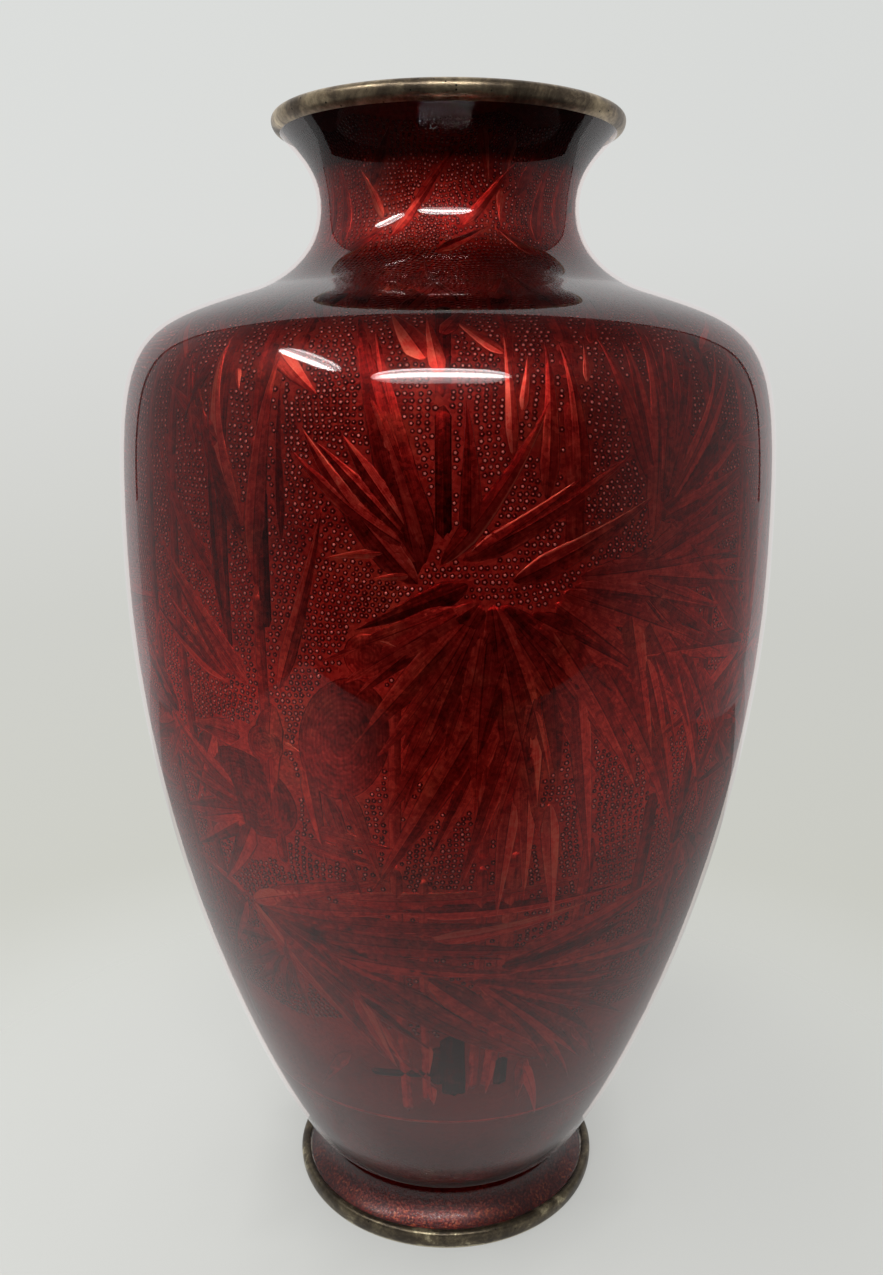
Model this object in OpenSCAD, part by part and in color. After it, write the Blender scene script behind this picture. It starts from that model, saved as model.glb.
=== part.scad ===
// Baluster vase of clear red enamel over embossed silver foil on a copper body.
// Millimetres. Z is up, and the origin is the middle of the foot's resting plane.
// Every layer of the wall is an inset of one outer outline, so neighbours meet face to face.

/* [Outline] */
// Overall height
height = 300; // [285:5:315]
// Widest diameter, at the belly
belly_d = 172.8; // [164:0.4:182]
// Narrowest diameter, in the neck
neck_d = 67.6; // [63:0.4:72]
// Diameter over the mouth ring
rim_d = 89.8; // [86:0.2:94]
// Diameter over the foot ring
foot_d = 89.2; // [86:0.2:94]

/* [Wall] */
// Thickness of the red enamel
enamel_t = 1.0; // [0.8:0.1:1.2]
// Height of the embossed foil
foil_t = 0.2; // [0.1:0.1:0.3]
// Thickness of the copper
copper_t = 1.0; // [0.8:0.1:1.2]
// Thickness of the plain enamel inside and under the vase
lining_t = 0.4; // [0.3:0.1:0.6]

/* [Joints] */
// Height of the brazed line round the belly
seam_h = 0.6; // [0.4:0.1:1.0]
// Thickness of the mouth ring's flange inside the neck
flange_t = 0.6; // [0.4:0.1:0.8]

/* [Hidden] */
$fn = 180;

// Radii and heights of the places where the outline turns.
belly = [belly_d / 2, 0.6367 * height];
neck = [neck_d / 2, 0.9263 * height];
mouth = [rim_d / 2 - 2.1, height - 4.8];
crease = [foot_d / 2 - 7.7, 13.4];
heel = crease + [1.5, 2.2];
foot_edge = [foot_d / 2 - 2.6, 5];
shoulder = [neck[0] + 17.1, neck[1] - 20.3];
shoulder_slope = [31.6, -9.8];

// How deep each layer's inner face lies under the outer outline.
foil_in = enamel_t;
copper_in = foil_in + foil_t;
lining_in = copper_in + copper_t;
wall_t = lining_in + lining_t;

// A cubic curve through its first and last point, as a list of n + 1 points.
function bezier(p, t) =
    pow(1 - t, 3) * p[0] + 3 * t * pow(1 - t, 2) * p[1]
    + 3 * t * t * (1 - t) * p[2] + pow(t, 3) * p[3];
function curve(a, b, c, d, n) = [for (i = [0:n]) bezier([a, b, c, d], i / n)];

// Lists of points: without the first, reversed, and moved inwards along the normals by d.
function rest(p) = [for (i = [1:len(p) - 1]) p[i]];
function back(p) = [for (i = [len(p) - 1:-1:0]) p[i]];
function run(p, i) = p[min(i + 1, len(p) - 1)] - p[max(i - 1, 0)];
function normal(v) = [v[1], -v[0]] / norm(v);
function inset(p, d) = [for (i = [0:len(p) - 1]) p[i] - d * normal(run(p, i))];
function first(p, n) = [for (i = [0:n]) p[i]];
function from(p, n) = [for (i = [n:len(p) - 1]) p[i]];

// The outer outline, upwards: heel to belly, belly to shoulder, shoulder to neck, neck to mouth.
belly_n = 18;
to_belly = curve(heel, heel + [8.9, 5], belly - [0, 0.288 * height], belly, belly_n);
to_shoulder = curve(belly, belly + [0, 0.185 * height], shoulder + shoulder_slope, shoulder, 14);
to_neck = curve(shoulder, shoulder + [-4, 1.3], neck - [0, 13.2], neck, 8);
to_mouth = curve(neck, neck + [0, 8.3], mouth - [4.4, 5], mouth, 8);
body = concat(to_belly, rest(to_shoulder), rest(to_neck), rest(to_mouth));
lip = curve(crease, crease + [0, 0.9], heel - [1.1, 0.6], heel, 4);

// The foot's outline, upwards from its ring to the crease under the body.
foot = curve(foot_edge, foot_edge - [2.6, -1.3], crease - [0, 3.8], crease, 8);

// Where a face of the wall meets the lower shell's flat floor, and where one of the foot ends.
function corner(d) = inset(body, d)[0];
function foot_top(d) = inset(foot, d)[len(foot) - 1];
floor_z = corner(copper_in)[1];

// A solid of revolution between the insets a and b of an outline.
module layer(p, a, b) {
    rotate_extrude() polygon(concat(inset(p, a), back(inset(p, b))));
}

// Spun copper bowl with a flat floor, from the foot up to the seam at the belly.
module lower_shell() {
    outside = first(inset(body, copper_in), belly_n);
    inside = first(inset(body, lining_in), belly_n);
    color("peru") rotate_extrude()
        polygon(concat([[0, floor_z]], outside, back(inside), [[0, inside[0][1]]]));
}

// The cut edges of the upper shell stand a seam's height above those of the lower one.
function seam_edge(d) = let (p = inset(body, d), a = p[belly_n], b = p[belly_n + 1])
    a + (b - a) * seam_h / (b[1] - a[1]);

// Spun copper shoulder and neck, in one piece.
module upper_shell() {
    outside = concat([seam_edge(copper_in)], from(inset(body, copper_in), belly_n + 1));
    inside = concat([seam_edge(lining_in)], from(inset(body, lining_in), belly_n + 1));
    color("peru") rotate_extrude() polygon(concat(outside, back(inside)));
}

// Brazing metal that fills the seam between the two shells.
module belly_seam() {
    outside = [inset(body, copper_in)[belly_n], seam_edge(copper_in)];
    inside = [inset(body, lining_in)[belly_n], seam_edge(lining_in)];
    color("khaki") rotate_extrude() polygon(concat(outside, back(inside)));
}

// Flared copper band that stands under the lower shell's floor.
module foot_wall() {
    outside = inset(foot, copper_in);
    inside = inset(foot, lining_in);
    top = [[foot_top(copper_in)[0], floor_z], [foot_top(lining_in)[0], floor_z]];
    color("peru") rotate_extrude() polygon(concat(outside, top, back(inside)));
}

// Fillet of solder in the corner between the foot band and the floor.
module foot_solder() {
    toe = foot_top(copper_in);
    color("lightgray") rotate_extrude() polygon([toe, corner(copper_in), [toe[0], floor_z]]);
}

// Embossed silver foil round the body, under the red enamel.
module body_foil() {
    color("silver") layer(body, foil_in, copper_in);
}

// Foil round the foot band.
module foot_foil() {
    color("silver") layer(foot, foil_in, copper_in);
}

// Clear red enamel from the crease over belly, shoulder and neck up to the mouth ring.
module body_enamel() {
    under = [corner(copper_in), foot_top(copper_in)];
    color("darkred") rotate_extrude()
        polygon(concat(lip, rest(body), back(inset(body, foil_in)), under));
}

// Clear red enamel round the foot band.
module foot_enamel() {
    color("firebrick") layer(foot, 0, foil_in);
}

// Plain enamel that lines the inside, floor and neck.
module inner_enamel() {
    outside = inset(body, lining_in);
    inside = inset(body, wall_t);
    color("slategray") rotate_extrude() polygon(concat(
        [[0, outside[0][1]]], outside, back(inside), [[0, inside[0][1]]]));
}

// Plain enamel under the floor and down the inside of the foot.
module base_enamel() {
    outside = inset(foot, lining_in);
    inside = inset(foot, wall_t);
    under_z = floor_z - lining_t;
    top = [[foot_top(lining_in)[0], floor_z], [0, floor_z], [0, under_z], [foot_top(wall_t)[0], under_z]];
    color("slategray") rotate_extrude() polygon(concat(outside, top, back(inside)));
}

// Rounded brass ring that caps the wall's edge, with a flange inside the mouth.
module rim_ring() {
    r = rim_d / 2;
    edge = inset(body, wall_t);
    flange = inset(body, wall_t + flange_t);
    n = len(body) - 1;
    outer_round = curve(mouth, mouth + [1.4, 0.5], [r, height - 3.2], [r, height - 2], 5);
    top_round = curve([r, height - 2], [r, height - 0.8], [r - 1.2, height], [r - 2.6, height], 6);
    inner_round = curve([r - 2.6, height], [r - 4, height], flange[n] + [0.3, 1.4], flange[n], 5);
    color("darkkhaki") rotate_extrude() polygon(concat(
        outer_round, rest(top_round), rest(inner_round),
        [for (i = [n - 1:-1:n - 3]) flange[i]], [for (i = [n - 3:n]) edge[i]]));
}

// Rounded brass ring that caps the foot band and meets the surface the vase stands on.
module foot_ring() {
    r = foot_d / 2;
    hidden_edge = inset(foot, wall_t)[0];
    shoulder_round = curve([r, 4], [r, 6.2], foot_edge + [0.6, 1], foot_edge, 6);
    heel_round = curve([r - 1.6, 0], [r - 0.7, 0.6], [r, 2], [r, 4], 5);
    color("darkkhaki") rotate_extrude() polygon(concat(
        heel_round, rest(shoulder_round), [hidden_edge],
        [[r - 5.4, 2.2], [r - 5.4, 0.6], [r - 5, 0]]));
}

lower_shell();
upper_shell();
belly_seam();
foot_wall();
foot_solder();
body_foil();
foot_foil();
body_enamel();
foot_enamel();
inner_enamel();
base_enamel();
rim_ring();
foot_ring();
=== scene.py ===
"""Looks of the red enamelled baluster vase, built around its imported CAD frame. Metres and radians; Z is up.

A place on the wall is (turn, run): turn is the angle round the axis from the front, -Y, towards +X, and run
is the length along the outline from the crease under the body up to the mouth. depth is how far it lies
under the outline.
"""

import math
import random

import bpy
import numpy as np
from mathutils import Matrix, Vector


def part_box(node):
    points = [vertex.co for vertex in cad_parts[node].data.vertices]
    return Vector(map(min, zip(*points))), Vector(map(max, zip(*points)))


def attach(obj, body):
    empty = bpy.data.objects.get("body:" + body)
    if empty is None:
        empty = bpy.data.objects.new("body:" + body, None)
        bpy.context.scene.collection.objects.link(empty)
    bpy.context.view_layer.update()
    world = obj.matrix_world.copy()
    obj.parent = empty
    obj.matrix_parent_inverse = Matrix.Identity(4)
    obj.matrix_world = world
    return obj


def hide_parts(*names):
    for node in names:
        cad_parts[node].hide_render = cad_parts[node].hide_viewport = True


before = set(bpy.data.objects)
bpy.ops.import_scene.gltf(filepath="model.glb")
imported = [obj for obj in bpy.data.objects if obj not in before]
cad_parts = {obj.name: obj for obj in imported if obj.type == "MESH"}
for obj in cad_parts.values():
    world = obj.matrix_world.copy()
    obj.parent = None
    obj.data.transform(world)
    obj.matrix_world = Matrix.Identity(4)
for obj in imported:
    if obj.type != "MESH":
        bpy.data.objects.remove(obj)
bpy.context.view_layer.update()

MM = 0.001
rng = random.Random(7)

# ---- outline

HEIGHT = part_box("rim_ring")[1].z
BELLY_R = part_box("body_enamel")[1].x
RIM_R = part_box("rim_ring")[1].x
FOOT_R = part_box("foot_ring")[1].x
NECK_R = 33.8 * MM
CREASE_Z = 13.6 * MM

# How deep each layer lies under the outline.
FOIL_IN, COPPER_IN, LINING_IN, WALL_T = 1.0 * MM, 1.2 * MM, 2.2 * MM, 2.6 * MM
GROUND_IN = 1.16 * MM
FLANGE_T = 0.6 * MM
SUNK_IN = GROUND_IN + 0.02 * MM  # where a motif's sides end, just under the ground's face


def pt(r, z):
    return np.array([r, z])


def curve(a, b, c, d, n):
    """n + 1 points along a cubic curve from a to d."""
    t = np.linspace(0, 1, n + 1)[:, None]
    return (1 - t) ** 3 * a + 3 * t * (1 - t) ** 2 * b + 3 * t * t * (1 - t) * c + t ** 3 * d


def joined(*parts):
    """One outline from several that meet end to end."""
    return np.vstack([parts[0]] + [p[1:] for p in parts[1:]])


def inset(p, d):
    """The outline p moved inwards along its normals by d."""
    run = np.vstack([p[1] - p[0], p[2:] - p[:-2], p[-1] - p[-2]])
    run /= np.linalg.norm(run, axis=1)[:, None]
    return p - d * np.stack([run[:, 1], -run[:, 0]], 1)


belly = pt(BELLY_R, 0.6367 * HEIGHT)
neck = pt(NECK_R, 0.9263 * HEIGHT)
mouth = pt(RIM_R - 2.1 * MM, HEIGHT - 4.8 * MM)
crease = pt(FOOT_R - 7.7 * MM, 13.4 * MM)
heel = crease + pt(1.5, 2.2) * MM
foot_edge = pt(FOOT_R - 2.6 * MM, 5 * MM)
shoulder = neck + pt(17.1, -20.3) * MM

to_belly = curve(heel, heel + pt(8.9, 5) * MM, belly - pt(0, 0.288 * HEIGHT), belly, 54)
to_shoulder = curve(belly, belly + pt(0, 0.185 * HEIGHT), shoulder + pt(31.6, -9.8) * MM, shoulder, 44)
to_neck = curve(shoulder, shoulder + pt(-4, 1.3) * MM, neck - pt(0, 13.2) * MM, neck, 26)
to_mouth = curve(neck, neck + pt(0, 8.3) * MM, mouth - pt(4.4, 5) * MM, mouth, 26)
body = joined(to_belly, to_shoulder, to_neck, to_mouth)
lip = curve(crease, crease + pt(0, 0.9) * MM, heel - pt(1.1, 0.6) * MM, heel, 8)
foot = curve(foot_edge, foot_edge - pt(2.6, -1.3) * MM, crease - pt(0, 3.8) * MM, crease, 24)

runs = np.concatenate([[0], np.cumsum(np.linalg.norm(np.diff(body, axis=0), axis=1))])
RUN_END = runs[-1]
slopes = np.gradient(body, runs, axis=0)
slopes /= np.linalg.norm(slopes, axis=1)[:, None]


def radius_at(run):
    return np.interp(run, runs, body[:, 0])


def on_wall(turn, run, depth):
    """Points under the outline, as rows of x, y, z."""
    turn, run, depth = np.broadcast_arrays(turn, run, depth)
    r = np.interp(run, runs, body[:, 0])
    z = np.interp(run, runs, body[:, 1])
    dr = np.interp(run, runs, slopes[:, 0])
    dz = np.interp(run, runs, slopes[:, 1])
    scale = depth / np.hypot(dr, dz)
    r = r - dz * scale
    z = z + dr * scale
    return np.stack([r * np.sin(turn), -r * np.cos(turn), z], -1)


# ---- mesh helpers

ROUND_STEPS = 240
SHARP_ANGLE = math.radians(40)
FLAT_FROM_SIDES = 7  # a face with this many sides is a hidden end or underside, and is shaded flat


def new_object(name, verts, faces, material, slot_name, replaces=(), attributes=None):
    """A mesh piece that rides on the vase's only body, or one of the stage's if it has no slot."""
    mesh = bpy.data.meshes.new(name)
    mesh.from_pydata(np.asarray(verts, float).tolist(), [], [list(map(int, f)) for f in faces])
    mesh.validate()
    for key, values in (attributes or {}).items():
        values = np.asarray(values, np.float32)
        if values.ndim == 1:
            mesh.attributes.new(key, "FLOAT", "POINT").data.foreach_set("value", values)
        else:
            mesh.attributes.new(key, "FLOAT_VECTOR", "POINT").data.foreach_set("vector", values.ravel())
    mesh.polygons.foreach_set("use_smooth", [p.loop_total < FLAT_FROM_SIDES for p in mesh.polygons])
    mesh.update()
    obj = bpy.data.objects.new(name, mesh)
    bpy.context.scene.collection.objects.link(obj)
    mesh.materials.append(material)
    if slot_name:
        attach(obj, "root")
    if replaces:
        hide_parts(*replaces)
    return obj


def revolve(name, outline, material, slot_name, replaced):
    """A closed ring from an outline that runs anticlockwise in (radius, height), or a closed cap where it
    starts and ends on the axis."""
    p = np.asarray(outline, float)
    on_axis = p[:, 0] < 1e-9
    turns = np.arange(ROUND_STEPS) * 2 * math.pi / ROUND_STEPS
    verts, index = [], []
    for (r, z), alone in zip(p, on_axis):
        if alone:
            index.append(np.full(ROUND_STEPS, len(verts)))
            verts.append((0, 0, z))
        else:
            index.append(len(verts) + np.arange(ROUND_STEPS))
            verts.extend(np.stack([r * np.sin(turns), -r * np.cos(turns), np.full(ROUND_STEPS, z)], 1))
    faces = []
    n = len(p)
    closes = not (on_axis[0] and on_axis[-1])
    for i in range(n if closes else n - 1):
        a, b = index[i], index[(i + 1) % n]
        a2, b2 = np.roll(a, -1), np.roll(b, -1)
        for q in zip(a, a2, b2, b):
            f = list(dict.fromkeys(q))
            if len(f) > 2:
                faces.append(f)
    obj = new_object(name, verts, faces, material, slot_name, replaces=[replaced])
    obj.data.set_sharp_from_angle(angle=SHARP_ANGLE)


def grid_faces(rows, columns):
    """Faces between neighbours in a grid of points that is stored row by row."""
    return [(i * columns + j, i * columns + j + 1, (i + 1) * columns + j + 1, (i + 1) * columns + j)
            for i in range(rows - 1) for j in range(columns - 1)]


# ---- materials

class Nodes:
    """Short ways to build the node tree of one material, or of the world."""

    def __init__(self, name, owners=bpy.data.materials, output="OutputMaterial"):
        self.owner = owners.new(name)
        self.owner.use_nodes = True
        self.tree = self.owner.node_tree
        self.tree.nodes.clear()
        self.out = self.node(output)

    def node(self, kind, **values):
        n = self.tree.nodes.new("ShaderNode" + kind)
        for key, value in values.items():
            if hasattr(n, key):
                setattr(n, key, value)
            else:
                self.feed(n.inputs[key.replace("_", " ")], value)
        return n

    def feed(self, socket, value):
        if isinstance(value, bpy.types.NodeSocket):
            self.tree.links.new(value, socket)
        else:
            socket.default_value = value

    def maths(self, operation, a, b=0.0, clamp=False):
        n = self.node("Math", operation=operation, use_clamp=clamp)
        self.feed(n.inputs[0], a)
        self.feed(n.inputs[1], b)
        return n.outputs[0]

    def add_share(self, value, pattern, amount):
        """value plus an amount of a pattern."""
        return self.maths("ADD", value, self.maths("MULTIPLY", pattern, amount))

    def spread(self, value, low, high, at_low=0.0, at_high=1.0, interpolation="LINEAR"):
        """at_low where value is low, at_high where it is high, and even steps in between."""
        n = self.node("MapRange", interpolation_type=interpolation, From_Min=low, From_Max=high,
                      To_Min=at_low, To_Max=at_high, Value=value)
        return n.outputs[0]

    def ramp(self, value, stops, interpolation="LINEAR"):
        n = self.node("ValToRGB")
        n.color_ramp.interpolation = interpolation
        while len(n.color_ramp.elements) < len(stops):
            n.color_ramp.elements.new(0.5)
        for e, (at, colour) in zip(n.color_ramp.elements, stops):
            e.position = at
            e.color = (*colour, 1)
        self.feed(n.inputs["Fac"], value)
        return n.outputs["Color"]

    def mix(self, factor, a, b, blend="MIX"):
        n = self.node("Mix", data_type="RGBA", blend_type=blend)
        self.feed(n.inputs["Factor"], factor)
        self.feed(n.inputs[6], a if not isinstance(a, tuple) else (*a, 1))
        self.feed(n.inputs[7], b if not isinstance(b, tuple) else (*b, 1))
        return n.outputs[2]

    def noise(self, scale, detail=4.0, rough=0.55, vector=None, distortion=0.0):
        n = self.node("TexNoise", Scale=scale, Detail=detail, Roughness=rough, Distortion=distortion)
        self.feed(n.inputs["Vector"], vector if vector else self.place())
        return n.outputs["Fac"]

    def cells(self, scale, **values):
        return self.node("TexVoronoi", Scale=scale, Vector=self.place(), **values)

    def specks(self, scale, size):
        """1 in small round specks and 0 between them."""
        return self.maths("LESS_THAN", self.cells(scale).outputs["Distance"], size)

    def crackle(self, scale):
        """Distance from the cracks between the foil's crumpled facets, and a random number for each facet."""
        edges = self.cells(scale, feature="DISTANCE_TO_EDGE")
        facet = self.node("SeparateColor", Color=self.cells(scale).outputs["Color"])
        return edges.outputs["Distance"], facet.outputs[0]

    def place(self):
        return self.node("TexCoord").outputs["Object"]

    def height(self):
        return self.node("SeparateXYZ", Vector=self.place()).outputs["Z"]

    def attribute(self, name, output="Fac"):
        return self.node("Attribute", attribute_name=name).outputs[output]

    def bump(self, height, strength, distance):
        return self.node("Bump", Strength=strength, Distance=distance, Height=height).outputs["Normal"]

    def blend(self, share, a, b):
        """Shader a, with a share of shader b."""
        n = self.node("MixShader")
        for socket, value in zip(n.inputs, (share, a, b)):
            self.feed(socket, value)
        return n.outputs[0]

    def done(self, shader):
        self.feed(self.out.inputs["Surface"], shader)
        return self.owner

    def principled(self, **values):
        n = self.node("BsdfPrincipled")
        for key, value in values.items():
            value = (*value, 1) if isinstance(value, tuple) and len(value) == 3 else value
            self.feed(n.inputs[key.replace("_", " ")], value)
        return self.done(n.outputs[0])

    def foil(self, colour, rough, edge_tint=(0.22, 0.0, 0.0), **values):
        """Foil under red enamel, which stays red where it is seen at a low angle."""
        return self.principled(Base_Color=colour, Metallic=1.0, Roughness=rough, Specular_IOR_Level=0.0,
                               Specular_Tint=edge_tint, **values)


HAZE_ROUGHNESS = 0.26
HAZE_FADE = 8 * MM
# Painted shade: the crease's dark line comes from the enamel mirroring nothing there.
CREASE_HALF = 0.6 * MM  # half the height of the dark line in the crease
CREASE_FADE = 1400  # per metre beyond that


def enamel_material(name, gloss, haze_share, hazy_below):
    """Clear polished enamel: it lets the foil show and mirrors the room by its angle. It has a share of
    haze, and is all haze below a height. Round the crease it mirrors nothing, which paints shade there."""
    m = Nodes(name)
    normal = m.bump(m.noise(22, 2, 0.5), 0.12, 0.002)
    clear = m.node("BsdfTransparent", Color=(1.0, 0.93, 0.92, 1)).outputs[0]
    sharp, haze = (m.node("BsdfGlossy", Roughness=rough, Color=(1, 1, 1, 1), Normal=normal).outputs[0]
                   for rough in (gloss, HAZE_ROUGHNESS))
    height = m.height()
    shine = m.blend(m.spread(height, hazy_below, hazy_below + HAZE_FADE, 1.0, haze_share), sharp, haze)
    fresnel = m.node("Fresnel", IOR=1.55, Normal=normal).outputs[0]
    facing = m.maths("SUBTRACT", 1.0, m.node("NewGeometry").outputs["Backfacing"])
    # Painted shade: round the crease between body and foot the enamel mirrors nothing, so it stays dark.
    from_crease = m.maths("ABSOLUTE", m.maths("SUBTRACT", height, CREASE_Z))
    open_air = m.maths("MULTIPLY", m.maths("SUBTRACT", from_crease, CREASE_HALF), CREASE_FADE, clamp=True)
    return m.done(m.blend(m.maths("MULTIPLY", m.maths("MULTIPLY", fresnel, facing), open_air), clear, shine))


# Painted shade by height: the foil is painted darker towards the foot, on the shoulder, at the foot of the
# neck
# and under the mouth: height in metres, and the share of the colour that is kept.
PAINTED_SHADE_BY_HEIGHT = [
    (0.030, 0.11), (0.045, 0.14), (0.060, 0.18), (0.085, 0.27), (0.105, 0.36), (0.122, 0.52), (0.138, 0.70),
    (0.153, 0.88), (0.168, 0.97), (0.182, 0.80), (0.195, 0.62), (0.207, 0.50), (0.219, 0.42), (0.233, 0.31),
    (0.244, 0.32), (0.252, 0.22), (0.262, 0.24), (0.270, 0.55), (0.280, 0.52), (0.2835, 0.40),
    (0.2865, 0.11), (0.293, 0.05),
]
# Motifs keep at least a given share above SHOULDER_Z, but for the darkest bands, and part of it below
# STEMS_Z.
SHOULDER_Z, STEMS_Z, DARKEST, STEMS_PART = 0.19, 0.065, 0.3, 0.55


def painted_height_shade(m, colour, least=0.0):
    """The foil's colour with painted shade that darkens it at each height. A motif keeps a least share of its
    light.
    """
    stops = []
    for z, share in PAINTED_SHADE_BY_HEIGHT:
        lit_above = share > DARKEST and z > SHOULDER_Z
        floor_share = least if lit_above else STEMS_PART * least if z < STEMS_Z else 0.0
        stops.append((z / HEIGHT, (max(share, floor_share),) * 3))
    unshaded_share = m.ramp(m.maths("DIVIDE", m.height(), HEIGHT), stops, interpolation="EASE")
    return m.mix(1.0, colour, unshaded_share, blend="MULTIPLY")


def foil_colour(m, lit, least=0.0):
    """From dark to bright foil under red enamel, browner in some patches, with painted shade by height."""
    red = m.ramp(lit, [
        (0.0, (0.065, 0.0011, 0.0009)), (0.25, (0.24, 0.0057, 0.0045)), (0.5, (0.55, 0.023, 0.017)),
        (0.75, (0.92, 0.070, 0.046)), (1.0, (1.0, 0.18, 0.115)),
    ])
    brown = m.ramp(lit, [
        (0.0, (0.053, 0.0038, 0.0023)), (0.25, (0.19, 0.017, 0.0095)), (0.5, (0.49, 0.056, 0.030)),
        (0.75, (0.90, 0.115, 0.060)), (1.0, (1.0, 0.24, 0.13)),
    ])
    in_patch = m.maths("MULTIPLY", m.maths("SUBTRACT", m.noise(75, 4, 0.6), 0.52), 4.0, clamp=True)
    return painted_height_shade(m, m.mix(in_patch, red, brown), least)


def foil_ground_material():
    """Dull embossed foil between the motifs, seen through the red."""
    m = Nodes("foil_ground")
    edge, facet = m.crackle(1500)
    lit = m.add_share(m.add_share(0.24, m.noise(60, 4, 0.6), 0.50), facet, 0.22)
    return m.foil(foil_colour(m, lit), 0.55, Normal=m.bump(m.maths("ADD", edge, facet), 0.25, 0.0001))


def dot_material():
    """Punched dots: a dark bead with a painted highlight on its small top."""
    m = Nodes("foil_dots")
    lit = m.add_share(m.attribute("tone"), m.noise(90, 3, 0.6), 0.2)
    colour = m.ramp(lit, [
        (0.0, (0.19, 0.0050, 0.0045)), (0.55, (0.13, 0.0032, 0.0028)), (0.66, (0.34, 0.022, 0.018)),
        (0.78, (1.0, 0.20, 0.165)), (1.0, (1.0, 0.40, 0.34)),
    ])
    return m.foil(painted_height_shade(m, colour, 0.75), 0.5, edge_tint=(0.35, 0.03, 0.02))


def leaf_material():
    """Pressed leaves: each half has its own tone of painted light and shade, with streaks along the leaf and
    a fine crackle.
    """
    m = Nodes("foil_leaves")
    edge, facet = m.crackle(1300)
    stretched = m.node("Mapping", Scale=(2.6, 0.13, 1.0), Vector=m.attribute("grain", "Vector"))
    streak = m.noise(1.0, 3, 0.6, vector=stretched.outputs[0])
    lit = m.attribute("tone")
    for pattern, amount in [(streak, 0.55), (m.noise(300, 5, 0.65), 0.75), (facet, 0.20)]:
        lit = m.add_share(lit, m.maths("SUBTRACT", pattern, 0.5), amount)
    height = m.attribute("relief")
    for pattern, amount in [(streak, 0.08), (edge, 0.05), (facet, 0.03)]:
        height = m.add_share(height, pattern, amount)
    return m.foil(foil_colour(m, lit, 0.58), 0.42, Normal=m.bump(height, 0.8, 0.001))


def foot_foil_material():
    """Fine crumpled foil round the foot, darker above, with painted red and gold glints low down."""
    m = Nodes("foil_foot")
    edge, facet = m.crackle(2600)
    # Painted glints: the foil is painted brighter below 11.5 mm, most of all below 6.5 mm.
    low = m.spread(m.height(), 0.0115, 0.0065)
    lit = m.add_share(m.maths("MULTIPLY", facet, 0.42), m.noise(160, 4, 0.6), 0.34)
    colour = m.ramp(m.add_share(lit, low, 0.22), [
        (0.25, (0.020, 0.0006, 0.0004)), (0.55, (0.055, 0.0024, 0.0014)), (0.75, (0.18, 0.016, 0.007)),
        (0.95, (0.60, 0.17, 0.05))])
    return m.foil(colour, 0.45, Normal=m.bump(m.maths("ADD", edge, facet), 0.4, 0.00012))


def patina_material(name, dark, brown, tan, gold, paler_below=None):
    """Old brass: dark bronze skin rubbed to gold in places, and paler low down if asked for, with small pits.
    """
    m = Nodes(name)
    fine = m.noise(700, 4, 0.7)
    pit = m.specks(420, 0.10)
    tone = m.add_share(m.maths("MULTIPLY", m.noise(95, 6, 0.68, distortion=0.5), 0.85), fine, 0.25)
    if paler_below:
        tone = m.add_share(tone, m.spread(m.height(), paler_below, paler_below * 0.4), 0.25)
    colour = m.ramp(tone, [(0.36, dark), (0.50, brown), (0.60, tan), (0.72, gold)])
    relief = m.maths("SUBTRACT", fine, m.maths("MULTIPLY", pit, 0.8))
    return m.principled(Base_Color=m.mix(pit, colour, (0.02, 0.016, 0.012)), Metallic=0.75,
                        Roughness=m.add_share(0.52, tone, -0.3), Normal=m.bump(relief, 0.4, 0.00015))


def copper_material():
    """Bare spun copper with faint turning lines and brown tarnish."""
    m = Nodes("bare_copper")
    tarnish = m.noise(45, 5, 0.62, distortion=0.8)
    turned = m.node("Mapping", Scale=(40, 40, 2200), Vector=m.place())
    lines = m.noise(1.0, 2, 0.5, vector=turned.outputs[0])
    colour = m.ramp(tarnish, [
        (0.30, (0.11, 0.040, 0.022)), (0.52, (0.36, 0.13, 0.070)), (0.72, (0.62, 0.26, 0.15)),
    ])
    return m.principled(Base_Color=colour, Metallic=0.9, Roughness=m.add_share(0.25, tarnish, 0.3),
                        Normal=m.bump(lines, 0.25, 0.0001))


def solder_material(name, bright):
    """Pale brazing metal with a pitted, wrinkled skin."""
    m = Nodes(name)
    wrinkle = m.noise(380, 5, 0.65)
    stops = [(0.32, (0.16, 0.14, 0.10)), (0.55, (0.42, 0.36, 0.24)), (0.75, (0.66, 0.58, 0.40))]
    colour = m.ramp(wrinkle, [(at, tuple(c * bright for c in shade)) for at, shade in stops])
    return m.principled(Base_Color=colour, Metallic=0.85, Roughness=0.42, Normal=m.bump(wrinkle, 0.5, 0.0003))


def lining_material():
    """Plain blue-grey counter enamel with specks and an orange-peel skin."""
    m = Nodes("counter_enamel")
    colour = m.ramp(m.noise(40, 5, 0.6), [
        (0.3, (0.030, 0.042, 0.055)), (0.55, (0.060, 0.080, 0.100)), (0.75, (0.105, 0.130, 0.150))])
    return m.principled(Base_Color=m.mix(m.specks(520, 0.12), colour, (0.018, 0.022, 0.028)), Roughness=0.16,
                        Specular_IOR_Level=0.5, Normal=m.bump(m.noise(260, 3, 0.5), 0.15, 0.0003))


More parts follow.
